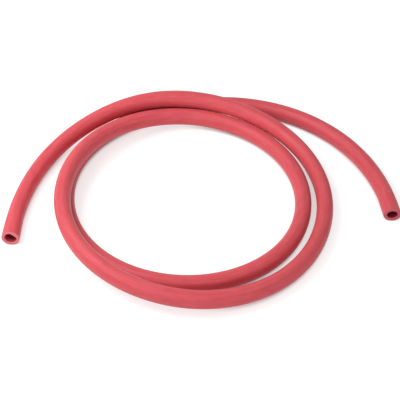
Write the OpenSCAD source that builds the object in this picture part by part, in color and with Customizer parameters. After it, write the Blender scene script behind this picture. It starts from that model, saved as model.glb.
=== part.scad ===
// Rubber gas tubing: one length of plain round hose, cut square at both ends, that lies in a
// loose coil of two and a half turns. Millimetres, with the floor at z = 0 and X to the right.

/* [Hose] */
// Bore, the size that pushes over a nozzle
bore_d = 8; // [6:0.5:10]
// Thickness of the rubber wall
wall_t = 2; // [1.5:0.25:3]
// Straight length at each end, with the bore truly round
end_length = 8; // [5:1:15]

/* [Lie] */
// Share by which the bend flattens the hose, narrower sideways and taller upright
bend_oval = 0.06; // [0.04:0.01:0.08]
// Gap left between a length of hose and the one it lies on or beside
lie_gap = 0.3; // [0.2:0.1:1]

/* [Hidden] */
hose_od = bore_d + 2 * wall_t;
// Centre distance of two lengths of bent hose that lie side by side, and one on the other
side_pitch = hose_od * (1 - bend_oval) + lie_gap;
stack_pitch = hose_od * (1 + bend_oval) + lie_gap;

// The lie as seen from above, from the left end clockwise: a station at every step of bearing,
// each with its radius from the middle and its height in hoses above the floor.
first_bearing = 225;
bearing_step = 35;
stations = [
    // Left end, over the top of the last turn and down at the right
    [156, 0],
    [125, 0],
    [116, 0],
    [98, 1.15],
    [85.5, 0.95],
    [82.5, 0.45],
    [82.5, 0],
    [85, 0],
    // Along the front, and up on the next turn at the left
    [94, 0],
    [100, 0.25],
    [102, 0.8],
    [98, 0.95],
    [91, 1.05],
    [86, 0.65],
    // Second turn on the floor, inside the first
    [81, 0.2],
    [73.5, 0],
    [68, 0],
    [69, 0],
    [75, 0],
    [81, 0],
    [87, 0],
    // Under the first turn at the left, and out behind it to the right end
    [92, 0],
    [95, 0],
    [97, 0],
    [94, 0],
    [103, 0],
    [114, 0],
    [125, 0],
    [143, 0],
];
// Side pitch that these radii are set out for
station_pitch = 11.58;
lie_scale = side_pitch / station_pitch;
last_u = len(stations) - 3;
// Part of a step that the lie runs on at each end, over which the flattened hose gets round
end_run = 0.15;
start_u = -end_run;
end_u = last_u + end_run;

// Rings of the swept hose in each step, and corners around its outside and its bore
step_rings = 4;
bore_sides = 12;
hose_sides = 2 * bore_sides;
// Corners that stand for round in the straight ends
end_sides = 96;
// How far the swept hose is let into the straight ends, and how much thinner it is there
let_in = 2;
let_in_skin = 0.05;
// Length by which a cut runs past the face it opens
cut_past = 1;

rubber_red = [0.80, 0.28, 0.32];

// Cubic B-spline of the stations at u, counted in steps from the left end, as radius and height, its slope
// and its bearing
function weights(t) = [
    pow(1 - t, 3),
    3 * pow(t, 3) - 6 * pow(t, 2) + 4,
    -3 * pow(t, 3) + 3 * pow(t, 2) + 3 * t + 1,
    pow(t, 3)
] / 6;
function slopes(t) = [
    -pow(1 - t, 2),
    3 * pow(t, 2) - 4 * t,
    -3 * pow(t, 2) + 2 * t + 1,
    pow(t, 2)
] / 2;
function first_of(u) = max(0, min(last_u - 1, floor(u)));
function weighed(i, w) =
    w[0] * stations[i] + w[1] * stations[i + 1] + w[2] * stations[i + 2] + w[3] * stations[i + 3];
function lie(u) = weighed(first_of(u), weights(u - first_of(u)));
function lie_slope(u) = weighed(first_of(u), slopes(u - first_of(u)));
function bearing(u) = first_bearing - bearing_step * (u + 1);

// How far the hose is flattened at u, from 0 at a free end to 1 in the bend
function flattened(u) =
    let (e = max(0, min(1, min(u - start_u, end_u - u) / end_run)))
    e * e * (3 - 2 * e);
function half_width(u) = hose_od / 2 * (1 - bend_oval * flattened(u));
function half_height(u) = hose_od / 2 * (1 + bend_oval * flattened(u));

// Centre of the hose at u, and its direction: out, around and up
function outward(u) = [cos(bearing(u)), sin(bearing(u)), 0];
function around(u) = [sin(bearing(u)), -cos(bearing(u)), 0];
function centre(u) =
    let (at = lie(u))
    lie_scale * at[0] * outward(u) + [0, 0, half_height(u) + stack_pitch * max(0, at[1])];
function unit(v) = v / norm(v);
function direction(u) =
    let (at = lie(u), slope = lie_slope(u), turn = bearing_step * PI / 180)
    unit(lie_scale * (slope[0] * outward(u) + at[0] * turn * around(u)) + [0, 0, stack_pitch * slope[1]]);

// Corners of an upright oval about a point, and one ring of the hose: its outside, then its bore,
// whose sides and not corners touch the true bore
function oval(at, side, up, half_w, half_h, count) =
    [for (k = [0 : count - 1])
        let (a = 360 * k / count)
        at + half_w * cos(a) * side + half_h * sin(a) * up];
function ring(at, along, half_w, half_h, skin) =
    let (
        side = unit([-along[1], along[0], 0]),
        up = cross(along, side),
        inset = wall_t - skin,
        grow = 1 / cos(180 / bore_sides)
    )
    concat(
        oval(at, side, up, half_w - skin, half_h - skin, hose_sides),
        oval(at, side, up, grow * (half_w - inset), grow * (half_h - inset), bore_sides)
    );
function ring_at(u, skin = 0, shift = 0) =
    ring(centre(u) + shift * direction(u), direction(u), half_width(u), half_height(u), skin);

// The bent hose between the straight ends, swept along the lie with its bore open
module bent_hose() {
    rings = concat(
        [for (shift = [-let_in, let_in]) ring_at(start_u, let_in_skin, shift)],
        [for (i = [0 : last_u * step_rings]) ring_at(i / step_rings)],
        [for (shift = [-let_in, let_in]) ring_at(end_u, let_in_skin, shift)]
    );
    last = len(rings) - 1;
    size = hose_sides + bore_sides;
    points = [for (r = rings) each r];
    outside = [for (i = [0 : last - 1], k = [0 : hose_sides - 1])
        let (a = i * size + k, b = i * size + (k + 1) % hose_sides)
        each [[a, b + size, b], [a, a + size, b + size]]];
    inside = [for (i = [0 : last - 1], k = [0 : bore_sides - 1])
        let (o = i * size + hose_sides, a = o + k, b = o + (k + 1) % bore_sides)
        each [[a, b, b + size], [a, b + size, a + size]]];
    near_end = [for (k = [0 : bore_sides - 1])
        let (
            a = hose_sides + k,
            b = hose_sides + (k + 1) % bore_sides,
            p = 2 * k,
            q = 2 * k + 1,
            r = (2 * k + 2) % hose_sides
        )
        each [[a, p, q], [a, q, b], [b, q, r]]];
    far_end = [for (f = near_end) [f[0] + last * size, f[2] + last * size, f[1] + last * size]];
    polyhedron(points = points, faces = concat(outside, inside, near_end, far_end), convexity = 6);
}

// One straight end with its true bore, running from the bent hose at u out to the square cut
module straight_end(u, out) {
    along = out * direction(u);
    translate(centre(u))
        rotate([0, 90, atan2(along[1], along[0])])
            difference() {
                cylinder(d = hose_od, h = end_length, $fn = end_sides);
                translate([0, 0, -cut_past])
                    cylinder(d = bore_d, h = end_length + 2 * cut_past, $fn = end_sides);
            }
}

module tube() {
    color(rubber_red)
        union() {
            bent_hose();
            straight_end(start_u, -1);
            straight_end(end_u, 1);
        }
}

tube();
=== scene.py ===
"""Rubber gas tubing: a red rubber hose that lies in a loose coil on a white floor."""
import math

import bpy
import numpy as np
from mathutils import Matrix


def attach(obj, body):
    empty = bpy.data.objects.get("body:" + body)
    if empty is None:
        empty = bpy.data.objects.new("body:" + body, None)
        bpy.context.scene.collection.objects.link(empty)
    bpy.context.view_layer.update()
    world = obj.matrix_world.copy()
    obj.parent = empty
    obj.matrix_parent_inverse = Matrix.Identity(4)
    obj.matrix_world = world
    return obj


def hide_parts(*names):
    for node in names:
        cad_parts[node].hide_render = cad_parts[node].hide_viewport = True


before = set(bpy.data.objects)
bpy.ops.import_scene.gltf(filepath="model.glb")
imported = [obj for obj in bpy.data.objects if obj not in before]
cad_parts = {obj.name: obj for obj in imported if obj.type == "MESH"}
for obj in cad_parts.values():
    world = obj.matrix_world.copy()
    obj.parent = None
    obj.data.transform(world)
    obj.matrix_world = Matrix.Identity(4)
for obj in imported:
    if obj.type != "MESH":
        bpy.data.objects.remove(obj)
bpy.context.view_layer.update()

# The hose and its lie, as in the part's source, in metres
BORE_D = 0.008
WALL_T = 0.002
HOSE_OD = BORE_D + 2 * WALL_T
END_LENGTH = 0.008
BEND_OVAL = 0.06
LIE_GAP = 0.0003
STACK_PITCH = HOSE_OD * (1 + BEND_OVAL) + LIE_GAP
FIRST_BEARING = 225
BEARING_STEP = 35
# Radius from the middle and height in hoses at each step of bearing, clockwise from the left end
STATIONS = np.array([
    # Left end, over the top of the last turn and down at the right
    (0.156, 0), (0.125, 0), (0.116, 0), (0.098, 1.15),
    (0.0855, 0.95), (0.0825, 0.45), (0.0825, 0), (0.085, 0),
    # Along the front, and up on the next turn at the left
    (0.094, 0), (0.100, 0.25), (0.102, 0.8), (0.098, 0.95), (0.091, 1.05), (0.086, 0.65),
    # Second turn on the floor, inside the first
    (0.081, 0.2), (0.0735, 0), (0.068, 0), (0.069, 0), (0.075, 0), (0.081, 0), (0.087, 0),
    # Under the first turn at the left, and out behind it to the right end
    (0.092, 0), (0.095, 0), (0.097, 0), (0.094, 0),
    (0.103, 0), (0.114, 0), (0.125, 0), (0.143, 0),
])
LAST_U = len(STATIONS) - 3
# Part of a step that the lie runs on at each end, over which the flattened hose gets round
END_RUN = 0.15

# A tag of rubber that the knife left inside the left mouth: its bearing in the section from the
# coil's outside, and how near to the middle it reaches
TAG_TURN = 135
TAG_REACH = 0.0030
# The right cut, not quite square and with its lip pressed in: how far it reaches past a square
# cut, how its plane leans out to the right and to the top, and how far the lip is pressed in
RIGHT_REACH = 0.0009
RIGHT_SLANT = (0.148, 0.096)
RIGHT_LIP = 0.0005
# How deep the tag and the lip go into the bore
LIP_DEPTH = 0.002

# Fineness of the measured lie: points in each step, and in each straight end
STEP_POINTS = 200
END_POINTS = 40
# Fineness of the mesh: corners around, and distance of rings outside, in the bore and in its mouths
SIDES = 48
RING_STEP = 0.002
BORE_RING_STEP = 0.008
MOUTH_RUN = 0.012
MOUTH_RING_STEP = 0.0008
# Softened edges of the cuts, outside and at the bore, and the rings in each
EDGE_ROUND = 0.00025
INNER_ROUND = 0.0006
EDGE_RINGS = 3

# Part of a noise's values over which a colour changes
NOISE_SPAN = (0.3, 0.7)
STREAK_SPAN = (0.35, 0.65)
DUST_SPAN = (0.35, 0.75)
# Depth of the relief: the rubber's grain, its streaks, and the grain of the cuts
GRAIN_HEIGHT = 0.00003
STREAK_HEIGHT = 0.00004
CUT_HEIGHT = 0.00008
# Length to both sides of the hose's middle over which one end's colours give way to the other's;
# the right end's darker colours are painted shade
ENDS_MEET = 0.1
# How deep the painted light reaches into the bore from the mouths
PAINTED_LIGHT_DEPTH = 0.005
# A small pale spot on top of the hose near its right end: its length from the cut, its turn in
# the section and its size
PALE_SPOT_FROM_CUT = 0.0162
PALE_SPOT_TURN = 78
PALE_SPOT_SIZE = 0.0009

# The photograph's view: elevation, distance to the middle, lens, and where the middle is in it
IMAGE_PX = 400
VIEW_ELEVATION = 43.8
VIEW_DISTANCE = 0.688
SENSOR_MM = 36
FOCAL_PX = 986
MIDDLE_PX = (202.73, 200.44)
NEAREST_SEEN = 0.01

# The floor: its reach, how much light it gives back, and as the camera sees it the level that takes
# the shadow and the level that doesn't, which rises with the distance from the middle
FLOOR_REACH = 4
FLOOR_LEVEL = 0.85
SEEN_SHADED = 0.55
SEEN_GLOW = (0.65, 0.85)
GLOW_RISE = (0.15, 0.6)
# Narrow gaps, where the floor's glow is dimmed as painted shade: how near a wall counts, and how
# open it is above, from all dark to not dark
GAP_REACH = 0.006
GAP_OPEN = (0.1, 0.5)
# The even light from all around, and the lamps' places, sizes and watts
WORLD_LEVEL = 0.38
LAMPS = {
    "key": ((-0.3, 0, 0.4), 0.3, 1.7),
    "top": ((-0.22, -0.32, 0.7), 0.4, 0.9),
    "fill": ((0, -1.13, 0.41), 0.6, 3),
}


def lie(u):
    """Radius and height of the lie at u, counted in steps: a cubic B-spline of the stations."""
    i = np.clip(np.floor(u), 0, LAST_U - 1).astype(int)
    t = (u - i)[:, None]
    return (
        (1 - t) ** 3 * STATIONS[i]
        + (3 * t ** 3 - 6 * t ** 2 + 4) * STATIONS[i + 1]
        + (-3 * t ** 3 + 3 * t ** 2 + 3 * t + 1) * STATIONS[i + 2]
        + t ** 3 * STATIONS[i + 3]
    ) / 6


def flattened(u):
    """How far the hose is flattened at u, from 0 at a free end to 1 in the bend."""
    e = np.clip(np.minimum(u + END_RUN, LAST_U + END_RUN - u) / END_RUN, 0, 1)
    return e * e * (3 - 2 * e)


def centre(u):
    """Centre of the hose at u."""
    radius, level = lie(u).T
    bearing = np.radians(FIRST_BEARING - BEARING_STEP * (u + 1))
    height = HOSE_OD / 2 * (1 + BEND_OVAL * flattened(u)) + STACK_PITCH * np.maximum(0, level)
    return np.column_stack([radius * np.cos(bearing), radius * np.sin(bearing), height])


def unit(v):
    """Vectors of length 1."""
    return v / np.linalg.norm(v, axis=-1, keepdims=True)


def measured(points):
    """Length along a line of points, at each point."""
    return np.concatenate([[0], np.cumsum(np.linalg.norm(np.diff(points, axis=0), axis=1))])


def whole_lie():
    """Points close together along the hose's middle from cut to cut, and how flat it is at each."""
    u = np.linspace(-END_RUN, LAST_U + END_RUN, STEP_POINTS * LAST_U + 1)
    bend = centre(u)
    out_left = unit(bend[0] - bend[1])
    out_right = unit(bend[-1] - bend[-2])
    out_left[2] = out_right[2] = 0
    run = np.linspace(0, END_LENGTH, END_POINTS)[1:, None]
    points = np.concatenate([bend[0] + out_left * run[::-1], bend, bend[-1] + out_right * run])
    flat = np.concatenate([np.zeros(len(run)), flattened(u), np.zeros(len(run))])
    return points, flat


LIE_POINTS, LIE_FLAT = whole_lie()
LIE_LENGTH = measured(LIE_POINTS)
HOSE_LENGTH = LIE_LENGTH[-1]


def lie_at(places):
    """Points of the hose's middle at these lengths from the left cut."""
    return np.column_stack([np.interp(places, LIE_LENGTH, LIE_POINTS[:, k]) for k in range(3)])


def lips(places, turn):
    """How much thicker the wall is by the tag in the left mouth and the right mouth's lip."""
    least_cosine = 0.1
    toward = np.maximum(np.cos(turn - math.radians(TAG_TURN)), least_cosine)
    tag = np.maximum(0, BORE_D / 2 - TAG_REACH / toward)
    left = np.exp(-(places / LIP_DEPTH) ** 2)[:, None]
    right = np.exp(-((HOSE_LENGTH - places) / LIP_DEPTH) ** 2)[:, None]
    return left * tag + right * RIGHT_LIP


def rings(places, inset):
    """Rings of corners around the lie at these lengths, inset from the hose's outside."""
    at = lie_at(places)
    along = unit(lie_at(places + RING_STEP / 4) - lie_at(places - RING_STEP / 4))
    side = unit(np.cross((0, 0, 1), along))
    up = np.cross(along, side)
    flat = np.interp(places, LIE_LENGTH, LIE_FLAT)
    turn = np.arange(SIDES) * math.tau / SIDES
    depth = inset[:, None] + lips(places, turn) * (inset / WALL_T)[:, None]
    half_w = HOSE_OD / 2 * (1 - BEND_OVAL * flat)[:, None] - depth
    half_h = HOSE_OD / 2 * (1 + BEND_OVAL * flat)[:, None] - depth
    across, upright = half_w * np.cos(turn), half_h * np.sin(turn)
    near_right = np.clip((places - HOSE_LENGTH + MOUTH_RUN) / MOUTH_RUN, 0, 1)[:, None]
    onward = near_right * (RIGHT_REACH + RIGHT_SLANT[0] * across + RIGHT_SLANT[1] * upright)
    corners = (
        at[:, None]
        + across[:, :, None] * side[:, None]
        + upright[:, :, None] * up[:, None]
        + onward[:, :, None] * along[:, None]
    )
    # The same corners laid out straight, for the materials: section across, length along
    laid = np.empty_like(corners)
    laid[:, :, 0] = (HOSE_OD / 2 - inset)[:, None] * np.cos(turn)
    laid[:, :, 1] = (HOSE_OD / 2 - inset)[:, None] * np.sin(turn)
    laid[:, :, 2] = places[:, None]
    return corners, laid


def edge(depth_from, inset_from, depth_to, inset_to):
    """Places and insets of a rounded quarter from one line to the other."""
    turn = np.linspace(0, math.pi / 2, EDGE_RINGS + 2)
    return (
        depth_from + (depth_to - depth_from) * np.sin(turn),
        inset_to + (inset_from - inset_to) * np.cos(turn),
    )


def profile():
    """The hose's skin as one closed line of lengths and insets, with the surface each is on."""
    outer_count = round(HOSE_LENGTH / RING_STEP)
    mouth_count = round(MOUTH_RUN / MOUTH_RING_STEP)
    deep_count = round(HOSE_LENGTH / BORE_RING_STEP)
    outer_run = np.linspace(EDGE_ROUND, HOSE_LENGTH - EDGE_ROUND, outer_count)
    mouth_run = np.linspace(INNER_ROUND, MOUTH_RUN, mouth_count)
    deep_run = np.linspace(HOSE_LENGTH - MOUTH_RUN, MOUTH_RUN, deep_count)
    bore_run = np.concatenate([HOSE_LENGTH - mouth_run, deep_run[1:-1], mouth_run[::-1]])
    inner = WALL_T - INNER_ROUND
    right_out = edge(HOSE_LENGTH - EDGE_ROUND, 0, HOSE_LENGTH, EDGE_ROUND)
    right_in = edge(HOSE_LENGTH - INNER_ROUND, WALL_T, HOSE_LENGTH, inner)
    left_in = edge(INNER_ROUND, WALL_T, 0, inner)
    left_out = edge(EDGE_ROUND, 0, 0, EDGE_ROUND)
    stretches = [
        ("skin", outer_run, np.zeros(len(outer_run))),
        ("cut", right_out[0][1:], right_out[1][1:]),
        ("cut", right_in[0][:0:-1], right_in[1][:0:-1]),
        ("bore", bore_run, np.full(len(bore_run), WALL_T)),
        ("cut", left_in[0][1:], left_in[1][1:]),
        ("cut", left_out[0][:0:-1], left_out[1][:0:-1]),
    ]
    surfaces, places, insets = zip(*stretches)
    names = [name for name, run in zip(surfaces, places) for _ in run]
    return names, np.concatenate(places), np.concatenate(insets)


def add_node(tree, kind, **values):
    """A new node with these values set."""
    node = tree.nodes.new(kind)
    for name, value in values.items():
        setattr(node, name, value)
    return node


def new_material(name):
    """A new material with its node tree and its shader."""
    material = bpy.data.materials.new(name)
    material.use_nodes = True
    tree = material.node_tree
    return material, tree, tree.nodes["Principled BSDF"]


def calculate(tree, operation, *values):
    """What a Math node makes of sockets and plain numbers."""
    node = add_node(tree, "ShaderNodeMath", operation=operation)
    for value, socket in zip(values, node.inputs):
        if isinstance(value, (int, float)):
            socket.default_value = value
        else:
            tree.links.new(value, socket)
    return node.outputs[0]


def spread(tree, value, low, high, first=0, last=1):
    """First to last as the value goes from low to high."""
    node = add_node(tree, "ShaderNodeMapRange")
    node.inputs["From Min"].default_value = low
    node.inputs["From Max"].default_value = high
    node.inputs["To Min"].default_value = first
    node.inputs["To Max"].default_value = last
    tree.links.new(value, node.inputs["Value"])
    return node.outputs["Result"]


def ramp(tree, factor, dark, light, span=NOISE_SPAN):
    """A smooth change from one colour to another as the factor crosses the span."""
    node = add_node(tree, "ShaderNodeValToRGB")
    node.color_ramp.interpolation = "EASE"
    first, last = node.color_ramp.elements
    first.position, last.position = span
    first.color, last.color = (*dark, 1), (*light, 1)
    tree.links.new(factor, node.inputs["Fac"])
    return node.outputs["Color"]


def mix(tree, factor, a, b):
    """Colour a where the factor is 0, and b where it is 1."""
    node = add_node(tree, "ShaderNodeMix", data_type="RGBA")
    tree.links.new(factor, node.inputs["Factor"])
    tree.links.new(a, node.inputs["A"])
    tree.links.new(b, node.inputs["B"])
    return node.outputs["Result"]


def bump(tree, height, distance, under=None):
    """Fine relief of a noise, on top of another relief if there is one."""
    node = add_node(tree, "ShaderNodeBump")
    node.inputs["Distance"].default_value = distance
    tree.links.new(height, node.inputs["Height"])
    if under is not None:
        tree.links.new(under, node.inputs["Normal"])
    return node.outputs["Normal"]


def hose_place(tree):
    """Place on the hose laid out straight: section across, length along."""
    return add_node(tree, "ShaderNodeAttribute", attribute_name="hose_place").outputs["Vector"]


def noise_along(tree, scale, detail, roughness=0.5):
    """A noise laid along the hose, with its scale per metre around and along."""
    mapping = add_node(tree, "ShaderNodeMapping")
    mapping.inputs["Scale"].default_value = scale
    noise = add_node(tree, "ShaderNodeTexNoise")
    noise.inputs["Scale"].default_value = 1
    noise.inputs["Detail"].default_value = detail
    noise.inputs["Roughness"].default_value = roughness
    tree.links.new(hose_place(tree), mapping.inputs["Vector"])
    tree.links.new(mapping.outputs["Vector"], noise.inputs["Vector"])
    return noise.outputs["Fac"]


def from_middle(tree):
    """Length along the hose from its middle, less than 0 towards the left mouth."""
    split = add_node(tree, "ShaderNodeSeparateXYZ")
    tree.links.new(hose_place(tree), split.inputs["Vector"])
    return calculate(tree, "SUBTRACT", split.outputs["Z"], HOSE_LENGTH / 2)


def at_right(tree):
    """0 at the hose's left end, and 1 at its right end."""
    return spread(tree, from_middle(tree), -ENDS_MEET, ENDS_MEET)


def in_pale_spot(tree):
    """1 in the middle of the pale spot, and 0 outside it."""
    turn = math.radians(PALE_SPOT_TURN)
    radius = HOSE_OD / 2
    away = add_node(tree, "ShaderNodeVectorMath", operation="DISTANCE")
    tree.links.new(hose_place(tree), away.inputs[0])
    away.inputs[1].default_value = (
        radius * math.cos(turn), radius * math.sin(turn), HOSE_LENGTH - PALE_SPOT_FROM_CUT,
    )
    return spread(tree, away.outputs["Value"], PALE_SPOT_SIZE, PALE_SPOT_SIZE / 3)


def skin_material():
    """Matte red rubber: a dusty bloom, faint streaks from the die, a fine grain and one small pale
    spot.
    """
    material, tree, shader = new_material("hose_skin")
    mottle = noise_along(tree, (110, 110, 26), 3)
    streak = noise_along(tree, (700, 700, 9), 2)
    dust = noise_along(tree, (420, 420, 130), 3)
    grain = noise_along(tree, (3200, 3200, 2200), 2)
    base = ramp(tree, mottle, (0.583, 0.066, 0.082), (0.663, 0.088, 0.106))
    lines = ramp(tree, streak, (0.583, 0.066, 0.082), (0.673, 0.091, 0.109), STREAK_SPAN)
    bloom = ramp(tree, streak, (0.645, 0.090, 0.108), (0.695, 0.105, 0.123), STREAK_SPAN)
    pale_spot = ramp(tree, grain, (0.66, 0.17, 0.20), (0.76, 0.26, 0.29))
    clean = mix(tree, spread(tree, dust, *DUST_SPAN), mix(tree, mottle, base, lines), bloom)
    tree.links.new(mix(tree, in_pale_spot(tree), clean, pale_spot), shader.inputs["Base Color"])
    gloss = ramp(tree, mottle, (0.40, 0.40, 0.40), (0.50, 0.50, 0.50))
    tree.links.new(gloss, shader.inputs["Roughness"])
    shader.inputs["Specular IOR Level"].default_value = 0.2
    shader.inputs["Sheen Weight"].default_value = 0.05
    shader.inputs["Sheen Roughness"].default_value = 0.5
    shader.inputs["Sheen Tint"].default_value = (0.9, 0.75, 0.75, 1)
    relief = bump(tree, streak, STREAK_HEIGHT, bump(tree, grain, GRAIN_HEIGHT))
    tree.links.new(relief, shader.inputs["Normal"])
    return material


def cut_material():
    """The cut through the rubber: paler, dry and slightly rough, with painted shade making it
    darker at the right end.
    """
    material, tree, shader = new_material("hose_cut")
    grain = noise_along(tree, (1500, 1500, 1500), 4, 0.6)
    left = ramp(tree, grain, (0.69, 0.18, 0.21), (0.77, 0.22, 0.25))
    # Painted shade: the right cut is coloured darker than the left
    right = ramp(tree, grain, (0.52, 0.10, 0.14), (0.60, 0.135, 0.175))
    tree.links.new(mix(tree, at_right(tree), left, right), shader.inputs["Base Color"])
    shader.inputs["Roughness"].default_value = 0.8
    shader.inputs["Specular IOR Level"].default_value = 0.25
    tree.links.new(bump(tree, grain, CUT_HEIGHT), shader.inputs["Normal"])
    return material


def bore_material():
    """The wall of the bore: painted shade deep inside, and painted light paler at the mouths, most
    at the left one.
    """
    material, tree, shader = new_material("hose_bore")
    mottle = noise_along(tree, (300, 300, 60), 3)
    # Painted shade: away from the mouths the bore is coloured much darker than the rubber
    deep = ramp(tree, mottle, (0.25, 0.008, 0.014), (0.32, 0.014, 0.022))
    # Painted light near the mouths, stronger at the left mouth than at the right
    left = ramp(tree, mottle, (0.80, 0.115, 0.145), (0.88, 0.145, 0.175))
    right = ramp(tree, mottle, (0.46, 0.045, 0.065), (0.54, 0.062, 0.085))
    painted_lit_mouths = mix(tree, at_right(tree), left, right)
    to_mouth = calculate(tree, "ABSOLUTE", from_middle(tree))
    at_mouth = spread(tree, to_mouth, HOSE_LENGTH / 2 - PAINTED_LIGHT_DEPTH, HOSE_LENGTH / 2)
    tree.links.new(mix(tree, at_mouth, deep, painted_lit_mouths), shader.inputs["Base Color"])
    shader.inputs["Roughness"].default_value = 0.6
    shader.inputs["Specular IOR Level"].default_value = 0.3
    return material


def make_hose():
    """The hose as one closed skin of quads, with its bore and softened cut edges."""
    names, places, insets = profile()
    corners, laid = rings(places, insets)
    count = len(places)
    ring, side = np.meshgrid(np.arange(count), np.arange(SIDES), indexing="ij")
    next_ring, next_side = (ring + 1) % count, (side + 1) % SIDES
    faces = np.stack([
        ring * SIDES + side,
        ring * SIDES + next_side,
        next_ring * SIDES + next_side,
        next_ring * SIDES + side,
    ], axis=-1).reshape(-1, 4)
    mesh = bpy.data.meshes.new("hose")
    mesh.from_pydata(corners.reshape(-1, 3).tolist(), [], faces[:, ::-1].tolist())
    place = mesh.attributes.new("hose_place", "FLOAT_VECTOR", "POINT")
    place.data.foreach_set("vector", laid.reshape(-1).astype(np.float32))
    surfaces = {"skin": skin_material(), "cut": cut_material(), "bore": bore_material()}
    order = list(surfaces)
    for material in surfaces.values():
        mesh.materials.append(material)
    # Faces between two rings of one surface are of that surface, and all others are of the cut
    of_ring = [
        order.index(a if a == b else "cut") for a, b in zip(names, names[1:] + names[:1])
    ]
    mesh.polygons.foreach_set("material_index", np.repeat(of_ring, SIDES).astype(np.int32))
    mesh.shade_smooth()
    mesh.update()
    hose = bpy.data.objects.new("hose", mesh)
    bpy.context.collection.objects.link(hose)
    return hose


def add_camera():
    """The photograph's view."""
    tilt = math.radians(VIEW_ELEVATION)
    camera = bpy.data.objects.new("camera", bpy.data.cameras.new("camera"))
    camera.location = (0, -VIEW_DISTANCE * math.cos(tilt), VIEW_DISTANCE * math.sin(tilt))
    camera.rotation_euler = (math.pi / 2 - tilt, 0, 0)
    camera.data.sensor_width = SENSOR_MM
    camera.data.lens = FOCAL_PX / IMAGE_PX * SENSOR_MM
    camera.data.shift_x = (IMAGE_PX / 2 - MIDDLE_PX[0]) / IMAGE_PX
    camera.data.shift_y = (MIDDLE_PX[1] - IMAGE_PX / 2) / IMAGE_PX
    camera.data.clip_start = NEAREST_SEEN
    bpy.context.collection.objects.link(camera)
    bpy.context.scene.camera = camera


def bare_tree(data):
    """The emptied node tree of a material or a world."""
    data.use_nodes = True
    data.node_tree.nodes.clear()
    return data.node_tree


def diffuse(tree, level):
    """A plain grey surface."""
    node = add_node(tree, "ShaderNodeBsdfDiffuse")
    node.inputs["Color"].default_value = (level, level, level, 1)
    return node


def background(tree, level):
    """A white surround of this strength."""
    node = add_node(tree, "ShaderNodeBackground")
    node.inputs["Color"].default_value = (1, 1, 1, 1)
    node.inputs["Strength"].default_value = level
    return node


def end_tree(tree, lighting, seen, kind):
    """Ends a tree in one shader for what lights the object, and another for what is seen.

    What is seen is seen straight, or by a mirror or glass.
    """
    path = add_node(tree, "ShaderNodeLightPath")
    is_seen = path.outputs["Is Camera Ray"]
    for name in ("Is Glossy Ray", "Is Transmission Ray"):
        is_seen = calculate(tree, "MAXIMUM", is_seen, path.outputs[name])
    choose = add_node(tree, "ShaderNodeMixShader")
    tree.links.new(is_seen, choose.inputs["Fac"])
    tree.links.new(lighting.outputs[0], choose.inputs[1])
    tree.links.new(seen.outputs[0], choose.inputs[2])
    tree.links.new(choose.outputs[0], add_node(tree, kind).inputs["Surface"])


def floor_glow(tree):
    """White that takes no shadow: less near the object, and dimmed to painted shade in narrow gaps.
    """
    place = add_node(tree, "ShaderNodeNewGeometry")
    away = add_node(tree, "ShaderNodeVectorMath", operation="LENGTH")
    tree.links.new(place.outputs["Position"], away.inputs[0])
    rise = spread(tree, away.outputs["Value"], *GLOW_RISE, *SEEN_GLOW)
    # Painted shade: the glow fades where hose walls are near, in narrow gaps
    above = add_node(tree, "ShaderNodeAmbientOcclusion")
    above.inputs["Distance"].default_value = GAP_REACH
    lit = calculate(tree, "MULTIPLY", rise, spread(tree, above.outputs["AO"], *GAP_OPEN))
    glow = add_node(tree, "ShaderNodeEmission")
    tree.links.new(lit, glow.inputs["Strength"])
    return glow


def add_floor():
    """A white floor that keeps the object's shadow."""
    mesh = bpy.data.meshes.new("floor")
    signs = [(-1, -1), (1, -1), (1, 1), (-1, 1)]
    mesh.from_pydata([(FLOOR_REACH * x, FLOOR_REACH * y, 0) for x, y in signs], [], [(0, 1, 2, 3)])
    floor = bpy.data.objects.new("floor", mesh)
    bpy.context.collection.objects.link(floor)
    material = bpy.data.materials.new("floor_white")
    tree = bare_tree(material)
    white = add_node(tree, "ShaderNodeAddShader")
    tree.links.new(diffuse(tree, SEEN_SHADED).outputs[0], white.inputs[0])
    tree.links.new(floor_glow(tree).outputs[0], white.inputs[1])
    end_tree(tree, diffuse(tree, FLOOR_LEVEL), white, "ShaderNodeOutputMaterial")
    mesh.materials.append(material)


def add_world():
    """An even pale surround, white where it is seen."""
    world = bpy.data.worlds.new("studio")
    tree = bare_tree(world)
    dim, white = background(tree, WORLD_LEVEL), background(tree, 1)
    end_tree(tree, dim, white, "ShaderNodeOutputWorld")
    bpy.context.scene.world = world


def add_softbox(name, at, size, watts):
    """A square soft light that faces the middle of the object."""
    light = bpy.data.lights.new(name, "AREA")
    light.size = size
    light.energy = watts
    lamp = bpy.data.objects.new(name, light)
    lamp.location = at
    away = lamp.location.normalized()
    lamp.rotation_euler = away.to_track_quat("Z", "Y").to_euler()
    lamp.visible_camera = False
    bpy.context.collection.objects.link(lamp)


add_camera()
hose = make_hose()
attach(hose, "root")
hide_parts("tube")

add_floor()
add_world()
for lamp_name, (lamp_at, lamp_size, lamp_watts) in LAMPS.items():
    add_softbox(lamp_name, lamp_at, lamp_size, lamp_watts)
bpy.context.scene.view_settings.view_transform = "Standard"
